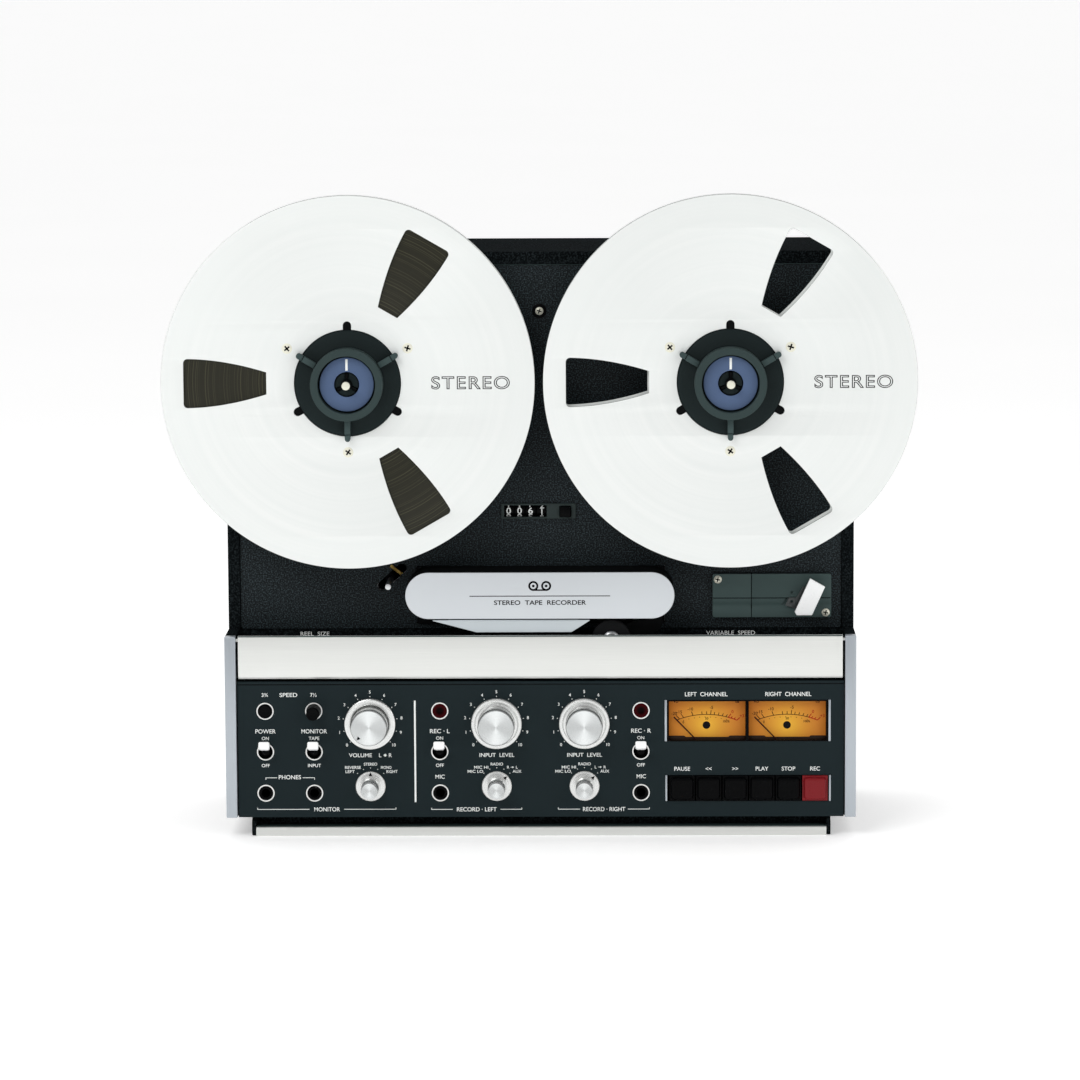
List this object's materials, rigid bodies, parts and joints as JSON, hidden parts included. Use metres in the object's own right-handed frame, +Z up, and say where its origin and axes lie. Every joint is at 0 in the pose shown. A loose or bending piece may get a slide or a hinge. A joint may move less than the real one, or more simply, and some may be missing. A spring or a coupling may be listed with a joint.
{
  "type": "reel to reel tape deck",
  "caption": "Upright open-reel stereo tape deck with large metal reels, head block, level meters and transport keys.",
  "frame": {"origin": "bottom centre of the whole deck's box, on the surface it stands on", "axes": "+X to the right as the user sees the front, +Y from the front to the back, +Z up"},
  "size_m": [0.5394, 0.207, 0.4609],
  "materials": {
    "case_plastic": "fine-grained black moulding",
    "deck_paint": "black crackle paint",
    "panel_paint": "dark blue-green satin paint",
    "brushed_aluminium": "brushed and anodised",
    "head_cover_silver": "satin silver",
    "reel_aluminium": "fine-brushed, clear anodised",
    "adapter_plastic": "dark green-grey moulding",
    "tape": "edge of wound tape",
    "steel": "ground steel",
    "motor_iron": "painted iron and windings",
    "chassis_metal": "plain metal",
    "black_plastic": "black moulding",
    "white_plastic": "white moulding",
    "red_plastic": "red moulding",
    "rubber": "ground rubber",
    "meter_face": "lit amber dial in a black box",
    "splice_paint": "dark grey-green satin paint",
    "knob_aluminium": "spun and turned"
  },
  "bodies": {
    "root": {"case_shell": "case_plastic", "rear_cover": "case_plastic", "chassis_plate": "chassis_metal", "deck_cover": "deck_paint", "control_panel": "panel_paint", "left_side_trim": "brushed_aluminium", "right_side_trim": "brushed_aluminium", "head_block": "chassis_metal", "head_cover": "head_cover_silver", "splice_plate": "splice_paint", "counter_housing": "black_plastic", "meter_unit": "meter_face", "left_reel_motor": "motor_iron", "right_reel_motor": "motor_iron", "capstan_motor": "motor_iron", "power_transformer": "motor_iron"},
    "left_reel": {"left_spindle": "steel", "left_reel_hub": "reel_aluminium", "left_front_flange": "reel_aluminium", "left_adapter": "adapter_plastic", "left_tape_pack": "tape"},
    "right_reel": {"right_spindle": "steel", "right_reel_hub": "reel_aluminium", "right_front_flange": "reel_aluminium", "right_adapter": "adapter_plastic"},
    "left_lock": {"left_adapter_lock": "adapter_plastic"},
    "right_lock": {"right_adapter_lock": "adapter_plastic"},
    "capstan": {"capstan_shaft": "steel"},
    "pinch_arm": {"pinch_arm": "steel"},
    "pinch_roller": {"pinch_roller": "rubber"},
    "tension_arm": {"tension_arm": "steel"},
    "front_flap": {"front_flap": "brushed_aluminium"},
    "stand_bar": {"stand_bar": "brushed_aluminium"},
    "head_cover_flap": {"head_cover_flap": "head_cover_silver"},
    "cutter_lever": {"cutter_lever": "white_plastic"},
    "counter_reset": {"counter_reset_button": "black_plastic"},
    "counter_drum": {"counter_units_drum": "black_plastic"},
    "volume": {"volume_knob": "knob_aluminium"},
    "balance": {"balance_ring": "knob_aluminium"},
    "input_left": {"input_left_knob": "knob_aluminium"},
    "input_right": {"input_right_knob": "knob_aluminium"},
    "mode_selector": {"mode_selector": "knob_aluminium"},
    "input_left_selector": {"input_left_selector": "knob_aluminium"},
    "input_right_selector": {"input_right_selector": "knob_aluminium"},
    "slow_speed": {"slow_speed_button": "black_plastic"},
    "fast_speed": {"fast_speed_button": "black_plastic"},
    "power_toggle": {"power_toggle": "white_plastic"},
    "monitor_toggle": {"monitor_toggle": "white_plastic"},
    "record_left_toggle": {"record_left_toggle": "white_plastic"},
    "record_right_toggle": {"record_right_toggle": "white_plastic"},
    "pause_key": {"pause_key": "black_plastic"},
    "rewind_key": {"rewind_key": "black_plastic"},
    "forward_key": {"forward_key": "black_plastic"},
    "play_key": {"play_key": "black_plastic"},
    "stop_key": {"stop_key": "black_plastic"},
    "record_key": {"record_key": "red_plastic"},
    "left_needle": {"left_meter_needle": "black_plastic"},
    "right_needle": {"right_meter_needle": "black_plastic"},
    "reel_size_switch": {"reel_size_switch": "black_plastic"},
    "vari_speed": {"vari_speed_knob": "black_plastic"}
  },
  "joints": [
    {"name": "left_reel_spin", "type": "hinge", "parent": "root", "child": "left_reel", "pos_m": [-0.1363, -0.0735, 0.3276], "axis": [0, 1, 0], "continuous": true},
    {"name": "right_reel_spin", "type": "hinge", "parent": "root", "child": "right_reel", "pos_m": [0.1363, -0.0735, 0.3276], "axis": [0, 1, 0], "continuous": true},
    {"name": "left_lock_turn", "type": "hinge", "parent": "left_reel", "child": "left_lock", "pos_m": [-0.1363, -0.086, 0.3276], "axis": [0, -1, 0], "range_deg": [0, 60]},
    {"name": "right_lock_turn", "type": "hinge", "parent": "right_reel", "child": "right_lock", "pos_m": [0.1363, -0.086, 0.3276], "axis": [0, -1, 0], "range_deg": [0, 60]},
    {"name": "capstan_spin", "type": "hinge", "parent": "root", "child": "capstan", "pos_m": [0.058, -0.0735, 0.167], "axis": [0, 1, 0], "continuous": true},
    {"name": "pinch_arm_swing", "type": "hinge", "parent": "root", "child": "pinch_arm", "pos_m": [0.082, -0.066, 0.153], "axis": [0, 1, 0], "range_deg": [0, 11.5]},
    {"name": "pinch_roller_spin", "type": "hinge", "parent": "pinch_arm", "child": "pinch_roller", "pos_m": [0.051, -0.07325, 0.1424], "axis": [0, 1, 0], "continuous": true},
    {"name": "tension_arm_swing", "type": "hinge", "parent": "root", "child": "tension_arm", "pos_m": [-0.1289, -0.034, 0.2031], "axis": [0, -1, 0], "range_deg": [0, 17], "stiffness_Nm_per_rad": 0.02, "springref_deg": -20.05},
    {"name": "front_flap_hinge", "type": "hinge", "parent": "root", "child": "front_flap", "pos_m": [0, -0.082, 0.143], "axis": [-1, 0, 0], "range_deg": [0, 95]},
    {"name": "stand_fold", "type": "hinge", "parent": "root", "child": "stand_bar", "pos_m": [0, -0.056, 0.008], "axis": [1, 0, 0], "range_deg": [0, 80]},
    {"name": "head_cover_flap_hinge", "type": "hinge", "parent": "root", "child": "head_cover_flap", "pos_m": [-0.021, -0.083, 0.158], "axis": [-1, 0, 0], "range_deg": [0, 90]},
    {"name": "cutter_press", "type": "hinge", "parent": "root", "child": "cutter_lever", "pos_m": [0.1976, -0.0524, 0.1764], "axis": [0.9205, 0, -0.3907], "range_deg": [0, 9], "stiffness_Nm_per_rad": 0.05, "springref_deg": -11.46},
    {"name": "counter_reset_push", "type": "slide", "parent": "root", "child": "counter_reset", "axis": [0, 1, 0], "range_m": [0, 0.003], "stiffness_N_per_m": 200, "springref_m": -0.003},
    {"name": "counter_units_spin", "type": "hinge", "parent": "root", "child": "counter_drum", "pos_m": [0.0011, -0.0345, 0.2312], "axis": [1, 0, 0], "continuous": true},
    {"name": "volume_turn", "type": "hinge", "parent": "root", "child": "volume", "pos_m": [-0.1223, -0.086, 0.0826], "axis": [0, 1, 0], "range_deg": [0, 266]},
    {"name": "balance_turn", "type": "hinge", "parent": "root", "child": "balance", "pos_m": [-0.1223, -0.086, 0.0826], "axis": [0, 1, 0], "range_deg": [-135, 135]},
    {"name": "input_left_turn", "type": "hinge", "parent": "root", "child": "input_left", "pos_m": [-0.0315, -0.086, 0.0826], "axis": [0, 1, 0], "range_deg": [0, 266]},
    {"name": "input_right_turn", "type": "hinge", "parent": "root", "child": "input_right", "pos_m": [0.0315, -0.086, 0.0826], "axis": [0, 1, 0], "range_deg": [0, 266]},
    {"name": "mode_selector_turn", "type": "hinge", "parent": "root", "child": "mode_selector", "pos_m": [-0.1223, -0.086, 0.037], "axis": [0, 1, 0], "range_deg": [-44, 44]},
    {"name": "input_left_selector_turn", "type": "hinge", "parent": "root", "child": "input_left_selector", "pos_m": [-0.0315, -0.086, 0.037], "axis": [0, 1, 0], "range_deg": [-88, 0]},
    {"name": "input_right_selector_turn", "type": "hinge", "parent": "root", "child": "input_right_selector", "pos_m": [0.0315, -0.086, 0.037], "axis": [0, 1, 0], "range_deg": [-88, 0]},
    {"name": "fast_speed_push", "type": "slide", "parent": "root", "child": "fast_speed", "axis": [0, 1, 0], "range_m": [0, 0.013]},
    {"name": "slow_speed_push", "type": "slide", "parent": "root", "child": "slow_speed", "axis": [0, -1, 0], "range_m": [0, 0.013]},
    {"name": "power_toggle_tilt", "type": "hinge", "parent": "root", "child": "power_toggle", "pos_m": [-0.1977, -0.0785, 0.0621], "axis": [1, 0, 0], "range_deg": [0, 40]},
    {"name": "monitor_toggle_tilt", "type": "hinge", "parent": "root", "child": "monitor_toggle", "pos_m": [-0.1627, -0.0785, 0.0621], "axis": [1, 0, 0], "range_deg": [0, 40]},
    {"name": "record_left_toggle_tilt", "type": "hinge", "parent": "root", "child": "record_left_toggle", "pos_m": [-0.0724, -0.0785, 0.0621], "axis": [1, 0, 0], "range_deg": [0, 40]},
    {"name": "record_right_toggle_tilt", "type": "hinge", "parent": "root", "child": "record_right_toggle", "pos_m": [0.072, -0.0785, 0.0621], "axis": [1, 0, 0], "range_deg": [0, 40]},
    {"name": "pause_key_press", "type": "slide", "parent": "root", "child": "pause_key", "axis": [0, 1, 0], "range_m": [0, 0.0035], "stiffness_N_per_m": 400, "springref_m": -0.002},
    {"name": "rewind_key_press", "type": "slide", "parent": "root", "child": "rewind_key", "axis": [0, 1, 0], "range_m": [0, 0.0035], "stiffness_N_per_m": 400, "springref_m": -0.002},
    {"name": "forward_key_press", "type": "slide", "parent": "root", "child": "forward_key", "axis": [0, 1, 0], "range_m": [0, 0.0035], "stiffness_N_per_m": 400, "springref_m": -0.002},
    {"name": "play_key_press", "type": "slide", "parent": "root", "child": "play_key", "axis": [0, 1, 0], "range_m": [0, 0.0035], "stiffness_N_per_m": 400, "springref_m": -0.002},
    {"name": "stop_key_press", "type": "slide", "parent": "root", "child": "stop_key", "axis": [0, 1, 0], "range_m": [0, 0.0035], "stiffness_N_per_m": 400, "springref_m": -0.002},
    {"name": "record_key_press", "type": "slide", "parent": "root", "child": "record_key", "axis": [0, 1, 0], "range_m": [0, 0.0035], "stiffness_N_per_m": 400, "springref_m": -0.002},
    {"name": "left_needle_swing", "type": "hinge", "parent": "root", "child": "left_needle", "pos_m": [0.1192, -0.078, 0.0618], "axis": [0, 1, 0], "range_deg": [0, 88]},
    {"name": "right_needle_swing", "type": "hinge", "parent": "root", "child": "right_needle", "pos_m": [0.177, -0.078, 0.0618], "axis": [0, 1, 0], "range_deg": [0, 88]},
    {"name": "reel_size_slide", "type": "slide", "parent": "root", "child": "reel_size_switch", "axis": [1, 0, 0], "range_m": [0, 0.006]},
    {"name": "vari_speed_turn", "type": "hinge", "parent": "root", "child": "vari_speed", "pos_m": [0.1375, -0.048, 0.127], "axis": [0, 1, 0], "range_deg": [-135, 135]}
  ],
  "couplings": [
    {"joint": "slow_speed_push", "follows": "fast_speed_push", "ratio": 1},
    {"joint": "counter_units_spin", "follows": "right_reel_spin", "ratio": 0.1}
  ]
}
